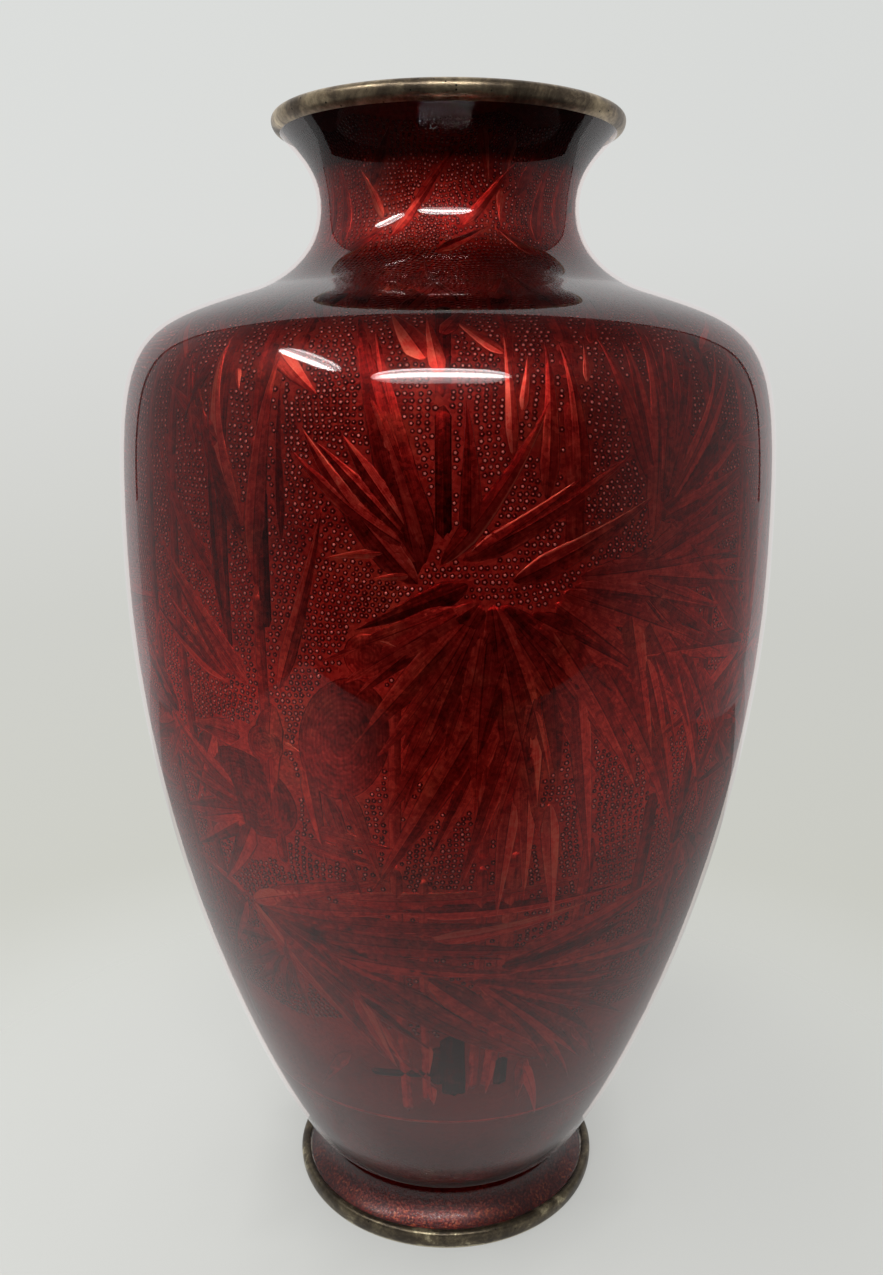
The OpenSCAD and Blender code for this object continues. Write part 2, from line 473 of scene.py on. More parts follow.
ENAMEL = enamel_material("clear_red_enamel", 0.014, 0.09, 0.026)
FOOT_ENAMEL = enamel_material("worn_red_enamel", 0.50, 0.15, 0.0)
FOIL = foil_ground_material()
FOOT_FOIL = foot_foil_material()
DOTS = dot_material()
LEAVES = leaf_material()
RIM_BRASS = patina_material(
    "old_brass_rim", (0.075, 0.058, 0.042), (0.21, 0.16, 0.108), (0.46, 0.36, 0.23), (0.80, 0.65, 0.42))
FOOT_BRASS = patina_material(
    "old_brass_foot", (0.030, 0.024, 0.017), (0.072, 0.056, 0.038), (0.15, 0.12, 0.075), (0.62, 0.54, 0.34),
    paler_below=0.0016)
COPPER = copper_material()
SOLDER = solder_material("braze_metal", 1.0)
# Painted shade: the solder in the crease between body and foot is painted nearly black.
CREASE_SHADED_SOLDER = solder_material("crease_shaded_solder", 0.08)
LINING = lining_material()
for node_name, material in [("lower_shell", COPPER), ("foot_wall", COPPER), ("belly_seam", SOLDER),
                            ("foot_solder", CREASE_SHADED_SOLDER)]:
    for material_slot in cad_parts[node_name].material_slots:
        material_slot.material = material

# ---- enamel and layers

SKIN_IN = 0.95 * MM
LINING_T = 0.4 * MM

copper_out, copper_inside, edge = inset(body, COPPER_IN), inset(body, LINING_IN), inset(body, WALL_T)
flange = inset(body, WALL_T + FLANGE_T)
band_out, band_in = inset(foot, LINING_IN), inset(foot, WALL_T)
above_belly = len(to_belly)
floor_z = copper_out[0][1]
under_z = floor_z - LINING_T
rim_side, rim_top = pt(RIM_R, HEIGHT - 2 * MM), pt(RIM_R - 2.6 * MM, HEIGHT)
sole, foot_side = pt(FOOT_R, 0), pt(FOOT_R, 4 * MM)

# Each row: the piece's name, its outline in parts, its material, its slot and the CAD node that it replaces.
LAYERS = [
    ("clear_enamel_body", [joined(lip, body), inset(body, SKIN_IN)[::-3], [inset(foot, SKIN_IN)[-1]]],
     ENAMEL, "red_enamel", "body_enamel"),
    ("clear_enamel_foot", [foot, inset(foot, SKIN_IN)[::-1]], FOOT_ENAMEL, "red_enamel", "foot_enamel"),
    ("foil_ground", [inset(body, GROUND_IN), copper_out[::-2]], FOIL, "silver_foil", "body_foil"),
    ("foil_foot", [inset(foot, FOIL_IN), inset(foot, COPPER_IN)[::-1]],
     FOOT_FOIL, "silver_foil", "foot_foil"),
    ("rim_band", [
        curve(mouth, mouth + pt(1.4, 0.5) * MM, rim_side - pt(0, 1.2) * MM, rim_side, 10),
        curve(rim_side, rim_side + pt(0, 1.2) * MM, rim_top + pt(1.4, 0) * MM, rim_top, 12)[1:],
        curve(rim_top, rim_top - pt(1.4, 0) * MM, flange[-1] + pt(0.3, 1.4) * MM, flange[-1], 10)[1:],
        flange[-2:-12:-1], edge[-11:],
    ], RIM_BRASS, "ring_brass", "rim_ring"),
    ("foot_band", [
        curve(sole - pt(1.6, 0) * MM, sole + pt(-0.7, 0.6) * MM, sole + pt(0, 2) * MM, foot_side, 10),
        curve(foot_side, foot_side + pt(0, 2.2) * MM, foot_edge + pt(0.6, 1) * MM, foot_edge, 12)[1:],
        band_in[:1],
        [sole + pt(-5.4, 2.2) * MM, sole + pt(-5.4, 0.6) * MM, sole - pt(5, 0) * MM],
    ], FOOT_BRASS, "ring_brass", "foot_ring"),
    ("copper_upper", [copper_out[above_belly:], copper_inside[:above_belly - 1:-1]],
     COPPER, "copper", "upper_shell"),
    ("lining_enamel", [[(0, copper_inside[0][1])], copper_inside, edge[::-1], [(0, edge[0][1])]],
     LINING, "counter_enamel", "inner_enamel"),
    ("base_enamel_skin", [
        [(0, under_z), (band_in[-1][0], under_z)], band_in[::-1],
        band_out, [(band_out[-1][0], floor_z), (0, floor_z)],
    ], LINING, "counter_enamel", "base_enamel"),
]
for name, parts, material, slot_name, replaced in LAYERS:
    revolve(name, np.vstack(parts), material, slot_name, replaced)

# ---- motifs in the foil

class Relief:
    """Raised strips and domes that share one mesh, with tone, relief and grain at each point."""

    def __init__(self):
        self.verts, self.faces, self.tone, self.relief, self.grain = [], [], [], [], []
        self.count = 0

    def add(self, verts, faces, tone, relief, grain):
        verts = np.asarray(verts).reshape(-1, 3)
        self.faces.extend([[i + self.count for i in f] for f in faces])
        self.verts.append(verts)
        self.tone.append(np.broadcast_to(tone, len(verts)))
        self.relief.append(np.broadcast_to(relief, len(verts)))
        self.grain.append(np.asarray(grain, float).reshape(-1, 3))
        self.count += len(verts)

    def build(self, name):
        attributes = {"tone": np.concatenate(self.tone), "relief": np.concatenate(self.relief),
                      "grain": np.vstack(self.grain)}
        new_object(name, np.vstack(self.verts), self.faces, LEAVES, "silver_foil", attributes=attributes)


covered = []  # (turns, runs, half widths) along each motif's middle, which keep dots away
ACROSS = np.array([-1, -0.87, -0.68, -0.06, 0, 0.06, 0.68, 0.87, 1])
SWELL_FIRST, SWELL_LAST = (0.1, 0.45, 0.8), 0.1  # shares of a strip's height at its first steps and its last
RELIEF_FADE = 6 * MM
FIRST_TONE = 0.4
# Painted shade: a dark line along the edges of every strip and mound.
EDGE_SHADE_TONE = 0.03


def strip(relief, turns, run, half, tones, top, rise, rib=0.15):
    """A raised strip along a path. half is its half width at each step, top the least depth of its ridge,
    rise the height of its bump by its width, and tones are the painted light and shade of its left half,
    right half, left border and right border."""
    n, m = len(turns), len(ACROSS)
    r = radius_at(run)
    step_turn, step_run = np.gradient(turns) * r, np.gradient(run)
    size = np.hypot(step_turn, step_run)
    side_turn, side_run = step_run / size, -step_turn / size
    u = ACROSS[None, :] * half[:, None]
    at_turn = turns[:, None] + u * side_turn[:, None] / r[:, None]
    at_run = run[:, None] + u * side_run[:, None]
    depth = np.where(np.abs(ACROSS) == 1, SUNK_IN, top + (GROUND_IN - top) * 0.45 * np.abs(ACROSS))
    swell = np.ones(n)
    swell[:3], swell[-1] = SWELL_FIRST, SWELL_LAST
    verts = on_wall(at_turn, at_run, SUNK_IN + (depth - SUNK_IN) * swell[:, None])
    faces = grid_faces(n, m)
    faces.extend((i * m + m - 1, i * m, i * m + m, i * m + 2 * m - 1) for i in range(n - 1))
    faces.append(tuple(range(m - 1, -1, -1)))
    faces.append(tuple((n - 1) * m + j for j in range(m)))
    left, right, left_border, right_border = tones
    # Painted light and shade across the strip: dark edges, then the borders, the halves and the rib.
    row = np.array([EDGE_SHADE_TONE, left_border, left, left, rib, right, right, right_border, EDGE_SHADE_TONE])
    length = np.concatenate([[0], np.cumsum(np.hypot(np.diff(turns) * r[1:], np.diff(run)))])
    along = np.broadcast_to(length[:, None] / MM, u.shape)
    grain = np.stack([u / MM, along, np.full(u.shape, 7.3 * len(covered))], -1)
    fade = np.clip(length / RELIEF_FADE, 0, 1)[:, None]
    height = (1 - np.abs(ACROSS))[None, :] * half[:, None] / MM * rise * fade
    tone = np.tile(row, (n, 1))
    tone[0] *= FIRST_TONE
    relief.add(verts, faces, tone.ravel(), height.ravel(), grain)
    covered.append((turns, run, half))


# Painted light and shade on a leaf's left and right half: lit on the left or right, dark, brightly lit,
# middling, and with a painted highlight on the left (U) or right (V) border.
LOOKS = {"L": (0.60, 0.40), "R": (0.40, 0.60), "D": (0.30, 0.36), "B": (0.88, 0.64), "M": (0.50, 0.44),
         "U": (0.46, 0.40), "V": (0.40, 0.46)}
WIDEST_AT = 0.2  # share of a leaf's length
LEAST_HALF = 0.04 * MM


def leaf(relief, base_turn, base_run, tip_turn, tip_run, width, bend, look=None):
    """A bamboo leaf, in degrees and millimetres. Its sides run straight to a sharp tip."""
    t = np.linspace(0, 1, 18) ** 1.15
    a0, a1 = math.radians(base_turn), math.radians(tip_turn)
    turns = a0 + (a1 - a0) * t
    run = (base_run + (tip_run - base_run) * t) * MM
    r = radius_at(run)
    du, dv = (a1 - a0) * r, (tip_run - base_run) * MM
    size = np.hypot(du, dv)
    shift = 4 * t * (1 - t) * bend * MM
    turns = turns + shift * dv / size / r
    run = run - shift * du / size
    taper = np.clip((t - WIDEST_AT) / (1 - WIDEST_AT), 0, 1)
    half = width * MM / 2 * np.minimum(t / WIDEST_AT, 1) ** 0.55 * (1 - taper ** 1.3)
    half = np.maximum(half, LEAST_HALF)
    look = look or rng.choice("LRLRMMD")
    left, right = (v + rng.uniform(-0.08, 0.08) for v in LOOKS[look])
    # Painted highlights: each border is painted near or above its half's tone, and much lighter on a U or V
    # leaf.
    left_border = left + rng.uniform(-0.1, 0.3) + 0.5 * (look == "U")
    right_border = right + rng.uniform(-0.1, 0.3) + 0.5 * (look == "V")
    strip(relief, turns, run, half, (left, right, left_border, right_border), rng.uniform(1.01, 1.07) * MM,
          rng.uniform(0.05, 0.12))


KNOT = 36.0  # millimetres from joint to joint


def cane(relief, turn_0, run_0, turn_1, run_1, width, tone):
    """A bamboo cane of jointed lengths, each flared towards its ends and drawn in right at the joints."""
    count = max(1, round((run_1 - run_0) / KNOT))
    for k in range(count):
        w = np.linspace(0, 1, 12)
        t = (k + w) / count
        inside = np.clip(np.minimum(w, 1 - w) / 0.035, 0, 1) ** 0.5
        half = width * MM / 2 * (0.88 + 0.12 * np.abs(2 * w - 1) ** 6) * np.maximum(inside, 0.3)
        turns = np.radians(turn_0 + (turn_1 - turn_0) * t)
        run = (run_0 + (run_1 - run_0) * t) * MM
        # Painted light and shade: the right half and both borders are painted darker than the left half.
        tones = (tone, tone - 0.14, tone - 0.1, tone - 0.25)
        strip(relief, turns, run, half, tones, 1.09 * MM, 0.04, rib=tone - 0.04)


DOME_STEPS = 36


def dome(relief, turn, run, wide, tall, lean, rings, light, dark, top=1.03 * MM):
    """A low oval mound with engraved rings, in degrees and millimetres."""
    turn = math.radians(turn)
    r = radius_at(run * MM)
    rho = np.linspace(0, 1, rings + 1)[1:]
    way = np.arange(DOME_STEPS) * 2 * math.pi / DOME_STEPS
    x, y = wide * rho[:, None] * np.cos(way), tall * rho[:, None] * np.sin(way)
    c, s = math.cos(math.radians(lean)), math.sin(math.radians(lean))
    x, y = x * c - y * s, x * s + y * c
    depth = np.where(rho == 1, SUNK_IN, top + (GROUND_IN - top) * 0.6 * rho ** 2)
    verts = [on_wall(turn, run * MM, top)]
    depths = np.broadcast_to(depth[:, None], x.shape)
    verts.extend(on_wall(turn + x * MM / r, (run + y) * MM, depths).reshape(-1, 3))
    faces = [(0, 1 + (i + 1) % DOME_STEPS, 1 + i)[::-1] for i in range(DOME_STEPS)]
    for k in range(rings - 1):
        for i in range(DOME_STEPS):
            a, b = 1 + k * DOME_STEPS + i, 1 + k * DOME_STEPS + (i + 1) % DOME_STEPS
            faces.append((a, b, b + DOME_STEPS, a + DOME_STEPS)[::-1])
    faces.append(tuple(1 + (rings - 1) * DOME_STEPS + i for i in range(DOME_STEPS)))
    shade = np.where(np.arange(rings) % 2 == 0, light, dark)
    # Painted shade round the mound's edge.
    shade[-1] = EDGE_SHADE_TONE
    tone = np.concatenate([[light], np.repeat(shade, DOME_STEPS)])
    height = np.concatenate([[1], np.repeat(1 - rho ** 2, DOME_STEPS)]) * min(wide, tall) * 0.12
    grain = np.concatenate([[(0, 0, 0)], np.stack([x, y, np.full(x.shape, 3.0)], -1).reshape(-1, 3)])
    relief.add(np.array([np.asarray(v) for v in verts]), faces, tone, height, grain)
    t = np.linspace(-1, 1, 9)
    half = wide * MM * np.sqrt(1 - t * t * 0.98)
    covered.append((turn - t * tall * s * MM / r, (run + t * tall * c) * MM, half))


leaves, back_leaves, canes, birds = Relief(), Relief(), Relief(), Relief()

# Each row: bottom turn and run, top turn and run, and width. The first few are the bright ones in the middle.
BRIGHT_CANES = 4
CANES = [
    (-9.6, 40, -7.5, 165, 3.4), (-4.6, 45, -3.8, 120, 2.8), (6.2, 50, 5.6, 160, 3.2),
    (9.6, 50, 12, 165, 4.6), (36, 104, 35, 200, 4.6), (23.5, 86, 24, 128, 4), (-28.4, 118, -28.2, 252, 3.4),
    (-34.5, 168, -35, 252, 3.2), (18, 192, 17.5, 262, 5), (-45, 90, -47, 250, 4), (44, 84, 43.5, 252, 4.4),
    (52, 60, 53, 250, 3.6), (-53, 56, -54, 250, 3.6), (-22.5, 226, -22, 262, 3), (8.7, 225, 8.9, 262, 2.6),
]
for n, row in enumerate(CANES):
    cane(canes, *row, tone=0.66 if n < BRIGHT_CANES else (0.50, 0.40, 0.56)[n % 3])
for row in [(-0.5, 197, -0.8, 252, 4), (-27, 176, -27.5, 240, 3.4)]:
    cane(canes, *row, tone=0.27)

# Each row: base turn and run, tip turn and run, width, bend to the right of the way to the tip, and the look.
LEFT_SPRAY = [
    (-34, 214, -50, 229, 5, 1, "M"), (-36, 185, -51, 216, 5, -1.5, "L"), (-31, 163, -51, 194, 5.4, 0.5, "R"),
    (-35, 176, -38, 228, 4, 0, "D"), (-31, 196, -43, 236, 4.5, -1, "D"),
    (-31, 198, -36.6, 242, 5.2, -3.2, "B"), (-39, 234, -43.5, 220, 3.4, 0, "D"),
    (-29, 190, -25.5, 237, 6, -0.6, "L"), (-26.3, 236, -18.4, 226, 5.4, 0.2, "B"),
    (-25.6, 163, -17.5, 204, 4.4, 0.8, "L"), (-24, 196, -24.8, 232, 2.4, 0, "D"),
    (-33, 232, -32, 227, 2.2, 0, "B"), (-40, 214, -45, 238, 3.6, 0, "M"),
]
MIDDLE_SPRAY = [
    (5, 184, -7, 150, 8, 0.6, "D"), (7, 182, -1, 146, 8, 0.6, "M"), (3, 188, -13, 178, 6, 0, "D"),
    (-4, 190, -15, 248, 9.5, 1, "D"), (-4, 188, -21, 220, 7.5, -1, "R"), (-3, 192, -11.4, 243, 6, 0.6, "L"),
    (-3, 234, -9.5, 248, 6.5, 0, "B"), (-1, 230, -3.4, 246, 4, 0, "B"), (-1, 240, 4, 252, 4, 0, "M"),
    (-5, 194.6, -17.2, 193, 3, 0.4, "B"), (-5, 190, -10.6, 189, 2, 0, "B"),
    (-4, 192, -10.2, 206, 2.4, 0, "L"), (3, 196, 2.5, 226, 5, 0.6, "D"), (-1, 192, 14.9, 227, 5, 1.6, "V"),
    (9, 214, 8.4, 241, 3, 0, "B"), (10.4, 223, 11.6, 235, 2.2, 0, "B"),
    (13.8, 205, 14.5, 239, 4.6, 0.4, "L"), (18.8, 205, 16.6, 239, 4.4, 1, "L"),
    (20.2, 229, 20.7, 238, 1.8, 0, "B"), (8.3, 235.4, 1, 245, 3, -0.6, "B"), (22, 238, 25, 250, 3, 0, "M"),
]
RIGHT_SPRAY = [
    (31, 196, 31.8, 246, 6.2, 0.6, "L"), (33.6, 205, 33, 243, 4, 0.4, "D"),
    (33.5, 204, 37, 240, 4.4, 0.6, "M"), (36, 216, 41, 241, 4, 0, "D"), (34, 205, 46.5, 230, 5, 0.6, "R"),
    (24, 190, 54, 197, 6, 0.4, "M"), (32, 200, 52, 210, 6, 0.5, "L"), (31, 200, 50, 218, 6, 0.8, "D"),
    (19, 189, 48, 190, 6.5, 0, "R"), (18, 187, 46, 178, 6, -0.5, "L"), (16, 186, 50, 166, 7.5, -0.5, "R"),
    (42, 166, 58, 131, 6, -0.5, "M"), (36, 170, 49.5, 127, 6, -0.5, "R"), (30, 172, 39.8, 134, 5.5, 0, "L"),
    (22, 172, 42.5, 123, 8.5, -1, "R"), (15, 184, 44, 150, 8.5, -0.5, "L"), (14, 180, 32, 137, 8.5, -1, "R"),
    (19, 166, 25, 115, 6, 0.6, "L"), (12, 178, 21, 146, 8, 0, "M"), (9, 176, 4, 146, 7, 0.5, "D"),
    (2, 193, 27.2, 214.2, 6, 0.8, "M"), (2.4, 193, 21.2, 212, 5, 0.8, "U"), (9, 188.4, 32, 206, 6, 0.8, "U"),
    (15, 168, 17, 142, 6, -0.3, "D"), (13, 166, 6.8, 129, 6, -0.5, "R"), (8, 164, -3, 124, 7, -1, "L"),
    (5, 160, -13, 114, 7.5, -0.8, "R"), (11, 162, 2, 116, 6, 0, "M"), (12, 162, 13, 112, 6.5, 0, "B"),
    (0, 160, -11, 132, 6, -0.5, "M"), (10, 140, 8.5, 108, 5, 0.3, "B"), (16, 138, 19, 104, 5, 0.3, "B"),
]
LOWER_SPRAY = [
    (-20, 112, 25, 117.5, 5.5, 0.5, "L"), (-8, 110, 33, 112.5, 5, 0, "R"), (-36, 106, -8, 119, 6, -1, "L"),
    (-38, 105, -20, 114, 5.4, -0.5, "B"), (-34, 105, 12, 107, 6.5, 0.5, "M"),
    (-4, 102, 26, 110, 4.4, 0.5, "B"), (-37, 104, 6, 102, 7, 0.5, "L"), (-28, 99, 21, 97.5, 7.5, -1.4, "M"),
    (9, 93, 43, 110, 6, 0.6, "L"), (-23, 95, 14, 91, 7.5, -0.6, "R"), (12, 91, 52, 89.5, 6, 0, "L"),
    (4, 90, 51, 76, 7, 0.4, "R"), (8, 90, 27, 67, 7, -0.4, "M"), (-4, 91, 27.5, 60, 9, 1.0, "R"),
    (-14, 90, 21.5, 59.6, 9, 1.5, "L"), (-22, 92, 0, 72, 7, 0.4, "D"), (-25, 99, -15.5, 78, 5, -0.4, "M"),
    (-38.6, 105, -14.4, 65, 5.2, 0.6, "B"), (-32, 98, -29, 68, 4, 0.5, "L"), (-18, 84, -11, 59, 5, 0.4, "B"),
    (16.6, 61, 25, 36, 4, -0.6, "B"), (-40, 104, -50, 84, 5, 0, "L"), (-40, 106, -54, 112, 5, 0, "R"),
    (28, 70, 40, 52, 4.6, 0, "M"), (-22, 62, -34, 44, 4, 0, "M"),
]
SHOULDER_SPRAY = [
    (-20, 244, -30, 268, 4.4, 0), (-8, 246, -2, 274, 4.6, 0), (-16, 248, -20, 276, 4.2, 0.4),
    (8, 248, 16, 276, 4.6, 0), (26, 246, 34, 272, 4.4, -0.4), (20, 250, 18, 280, 4, 0),
    (38, 244, 50, 268, 4.6, 0), (-40, 242, -52, 266, 4.6, 0), (-32, 246, -38, 272, 4, 0),
    (2, 254, -8, 282, 3.6, 0), (44, 236, 60, 250, 4, 0), (-46, 234, -60, 252, 4, 0),
]
NECK_SPRAY = [
    (-27, 293, -38.5, 304, 2.4, 0, "B"), (-22, 288.5, -1, 304, 2.6, -0.3, "L"),
    (-14, 296, 4, 308, 2.2, 0, "M"), (12, 312, 17, 300, 2.6, 0, "B"), (25, 310, 24, 301, 2.2, 0, "B"),
    (5, 291, 28, 305, 3, 0.3, "R"), (22, 299, 21, 292, 2.2, 0, "B"), (-45, 288, -52, 308, 4, 0, "M"),
    (36, 288, 46, 306, 4, 0, "R"), (-34, 300, -20, 313, 3, 0, "D"), (30, 298, 42, 312, 3, 0, "M"),
    (-4, 284, 16, 291, 3, 0, "R"), (-40, 284, -26, 291, 3.4, 0, "M"), (32, 284, 20, 290, 3, 0, "L"),
    (50, 290, 58, 308, 3.4, 0, "M"), (-56, 288, -60, 306, 3.4, 0, "L"),
]
# Denser leaves among those: turn and run of the node, first and last direction (0 is right, 90 up), count,
# reach and width.
FANS = [
    (6, 186, -160, -25, 17, 56, 7.5), (26, 189, -75, 30, 14, 46, 7), (32, 200, 25, 112, 9, 44, 5.5),
    (-2, 192, 98, 150, 5, 44, 6), (-34, 162, 118, 160, 3, 40, 5), (-38, 105, -55, 12, 11, 66, 6.5),
    (4, 92, -60, 22, 11, 60, 7), (-32, 132, 140, 235, 7, 38, 7), (46, 122, -110, -10, 5, 42, 6.5),
    (-30, 96, 190, 260, 5, 36, 6), (48, 150, -60, 60, 6, 34, 6), (-48, 150, 120, 240, 6, 34, 6),
]


def fan(turn, run, way_0, way_1, count, reach, width):
    """Leaves that spread from one node between two directions."""
    for k in range(count):
        way = math.radians(way_0 + (way_1 - way_0) * (k + rng.uniform(0.1, 0.9)) / count)
        length = reach * rng.uniform(0.65, 1.1)
        start = rng.uniform(2, 9)
        r = radius_at(run * MM) / MM
        c, s = math.degrees(math.cos(way) / r), math.sin(way)
        leaf(leaves, turn + c * start, run + s * start, turn + c * length, run + s * length,
             width * rng.uniform(0.7, 1.15), rng.uniform(-1.5, 1.5))


for row in FANS:
    fan(*row)
for spray in (LOWER_SPRAY, RIGHT_SPRAY, LEFT_SPRAY, MIDDLE_SPRAY, SHOULDER_SPRAY, NECK_SPRAY):
    for row in spray:
        leaf(leaves, *row)

# Two small birds among the leaves, with engraved rings on head and breast.
for row in [
    (-19, 140, -14, 112, 4.6, 0, "M"), (-16, 142, -10, 116, 4.6, 0, "L"), (-22, 146, -20, 120, 5, 0, "R"),
    (-27, 160, -29, 128, 8, 1, "M"), (-40, 150, -49, 128, 8, 0, "L"), (-34, 150, -46, 150, 7, 0.6, "R"),
    (-24, 126, -10, 122, 5, 0, "M"), (-22, 130, -8, 127, 4.4, 0, "L"),
]:
    leaf(birds, *row)
dome(birds, -15.5, 153, 10.5, 15, -18, 24, 0.46, 0.34)
dome(birds, -11.4, 172.5, 5.2, 5.2, 0, 12, 0.54, 0.38, top=1.02 * MM)
dome(birds, -34, 136, 14.5, 10.5, -20, 24, 0.38, 0.27, top=1.04 * MM)
dome(birds, -29, 149.5, 5, 4.8, 0, 12, 0.52, 0.38, top=1.02 * MM)
for row in [(-9.8, 176, -6.2, 174.4, 1.8, 0, "B"), (-25.5, 150.4, -22.6, 149, 1.8, 0, "B")]:
    leaf(birds, *row)


LOWEST_TIP, HIGHEST_TIP = 48, 311


def random_spray(turn, run, count, reach, width):
    """Leaves that spread from one node all round, a little longer downwards."""
    start = rng.uniform(0, 360)
    for k in range(count):
        way = math.radians(start + 360 * (k + rng.uniform(-0.3, 0.3)) / count)
        length = reach * rng.uniform(0.7, 1.15)
        across = length * math.cos(way) / (radius_at(run * MM) / MM)
        tip_run = run + length * math.sin(way) * (1.0 if math.sin(way) > 0 else 1.15)
        tip_run = min(max(tip_run, LOWEST_TIP), HIGHEST_TIP)
        leaf(back_leaves, turn + math.degrees(across) * 0.08, run + (tip_run - run) * 0.06,
             turn + math.degrees(across), tip_run, width * rng.uniform(0.75, 1.2), rng.uniform(-1.5, 1.5))


# The sides and the back. Each row: run of the node, count, reach, and width of its leaves.
BACK_ROWS = [(84, 9, 34, 6.5), (128, 10, 46, 7.5), (176, 11, 50, 8), (222, 10, 36, 6.5), (266, 6, 15, 3.4),
             (300, 4, 11, 2.8)]
NECK_RUN = 260
for turn in range(62, 300, 24):
    cane(canes, turn + rng.uniform(-4, 4), rng.uniform(42, 60), turn + rng.uniform(-4, 4),
         rng.uniform(238, 262), rng.uniform(3, 4.4), tone=0.6)
for turn in range(66, 300, 26):
    for run, *leafage in BACK_ROWS:
        random_spray(turn + rng.uniform(-9, 9),
                     run + rng.uniform(-9, 9) * (1 if run < NECK_RUN else 0.3), *leafage)

# A dark patch at the foot of the canes, with short leaves over it.
for row in [
    (2.0, 48, 1.2, 72, 7), (-1.6, 53, -1.2, 68, 5), (12.6, 52, 12.2, 63, 4), (-18, 56.2, -1, 58, 3.2),
]:
    cane(canes, *row, tone=0.08)
for row in [
    (-3.6, 68, -3.9, 57, 2.4, 0, "B"), (-3.5, 52.5, -3, 45, 3, 0, "B"), (9.9, 63, 9.6, 49, 3.2, 0, "B"),
    (17.5, 62, 18, 44, 4.4, 0, "L"), (5.6, 62, 4.6, 48, 1.8, 0, "M"), (-9, 60, -15, 80, 3, 0, "B"),
]:
    leaf(leaves, *row)

# A plain border line runs round under the lowest stems.
BORDER_RUN, BORDER_HALF = 37.5 * MM, 0.6 * MM
round_turns = np.linspace(-math.pi, math.pi, 181)
strip(canes, round_turns, np.full(181, BORDER_RUN), np.full(181, BORDER_HALF), (0.6, 0.5, 0.55, 0.4),
      1.08 * MM, 0.05, rib=0.6)

canes.build("foil_canes")
leaves.build("foil_leaves")
back_leaves.build("foil_leaves_back")
birds.build("foil_birds")

# Staggered rows of punched dots fill the ground between the motifs.
ROW_STEP, DOT_RADIUS = 0.87, 0.49  # in pitches
DOT_TOP_IN, DOT_FOOT_IN = 1.03 * MM, GROUND_IN + 0.015 * MM
DOT_SCATTER = 0.08
CLEARANCE = 0.35 * MM  # between a motif and a dot's middle
FARTHEST = 1.2 * MM  # beyond a motif's half width, no dot is near it
LEAST_R = 25 * MM  # less than any radius of the wall
LOW_DOTS_END = 165 * MM
SIDES = 5

dot_turns, dot_runs, dot_sizes = [], [], []
for first, last, pitch in [(73 * MM, 262 * MM, 1.55 * MM), (263 * MM, RUN_END - 4 * MM, 1.15 * MM)]:
    for k, run in enumerate(np.arange(first, last, pitch * ROW_STEP)):
        count = int(2 * math.pi * radius_at(run) / pitch)
        dot_turns.append((np.arange(count) + 0.5 * (k % 2)) * 2 * math.pi / count - math.pi)
        dot_runs.append(np.full(count, run))
        dot_sizes.append(np.full(count, pitch * DOT_RADIUS))
dot_turns, dot_runs, dot_sizes = (np.concatenate(rows) for rows in (dot_turns, dot_runs, dot_sizes))
scatter = np.random.default_rng(11)
drift_across = (1.1 * np.sin(dot_runs / (6.1 * MM) + 5 * dot_turns)
                + 0.8 * np.sin(dot_runs / (9.7 * MM) - 7 * dot_turns))
drift_up = (1.1 * np.sin(9 * dot_turns + dot_runs / (17 * MM))
            + 0.7 * np.sin(14 * dot_turns - dot_runs / (11 * MM)))
drift_across += scatter.normal(0, DOT_SCATTER, len(dot_turns))
drift_up += scatter.normal(0, DOT_SCATTER, len(dot_runs))
dot_turns = dot_turns + drift_across * MM / radius_at(dot_runs)
dot_runs = dot_runs + drift_up * MM
free = np.ones(len(dot_turns), bool)
for turns, run, half in covered:
    reach = half.max() + FARTHEST
    near = np.where(free & (dot_runs > run.min() - reach) & (dot_runs < run.max() + reach))[0]
    middle = turns[len(turns) // 2]
    gap = (dot_turns[near] - middle + math.pi) % (2 * math.pi) - math.pi
    span = np.abs(turns - middle).max() + reach / LEAST_R
    near, gap = near[np.abs(gap) < span], gap[np.abs(gap) < span]
    if len(near) == 0:
        continue
    a = (gap[:, None] - (turns - middle)[None, :]) * radius_at(dot_runs[near])[:, None]
    b = dot_runs[near][:, None] - run[None, :]
    # Distance to each straight step of the middle line, and the half width there.
    ax, bx = a[:, :-1], b[:, :-1]
    sx, sy = ax - a[:, 1:], bx - b[:, 1:]
    along = np.clip((ax * sx + bx * sy) / np.maximum(sx * sx + sy * sy, 1e-12), 0, 1)
    away = np.hypot(ax - along * sx, bx - along * sy)
    wide = half[None, :-1] + along * (half[None, 1:] - half[None, :-1])
    free[near[(away < wide + CLEARANCE).any(1)]] = False
dot_turns, dot_runs, dot_sizes = dot_turns[free], dot_runs[free], dot_sizes[free]
around = np.arange(SIDES) * 2 * math.pi / SIDES
for name, some in [("foil_dots_low", dot_runs < LOW_DOTS_END), ("foil_dots_high", dot_runs >= LOW_DOTS_END)]:
    turn, run = dot_turns[some], dot_runs[some]
    n = len(turn)
    size = (dot_sizes[some] * scatter.uniform(0.85, 1.1, n))[:, None]
    tops = on_wall(turn, run, DOT_TOP_IN)
    rings = on_wall(turn[:, None] + size * np.cos(around) / radius_at(run)[:, None],
                    run[:, None] + size * np.sin(around), DOT_FOOT_IN)
    verts = np.concatenate([tops[:, None, :], rings], 1).reshape(-1, 3)
    ways = [(0, 1 + i, 1 + (i + 1) % SIDES) for i in range(SIDES)] + [tuple(range(SIDES, 0, -1))]
    faces = [[(SIDES + 1) * k + i for i in way] for k in range(n) for way in ways]
    # Painted highlight: each dot's top is painted bright and its rim dark.
    tone = np.zeros((n, SIDES + 1))
    tone[:, 0] = scatter.uniform(0.75, 1.15, n)
    new_object(name, verts, faces, DOTS, "silver_foil", attributes={"tone": tone.ravel()})

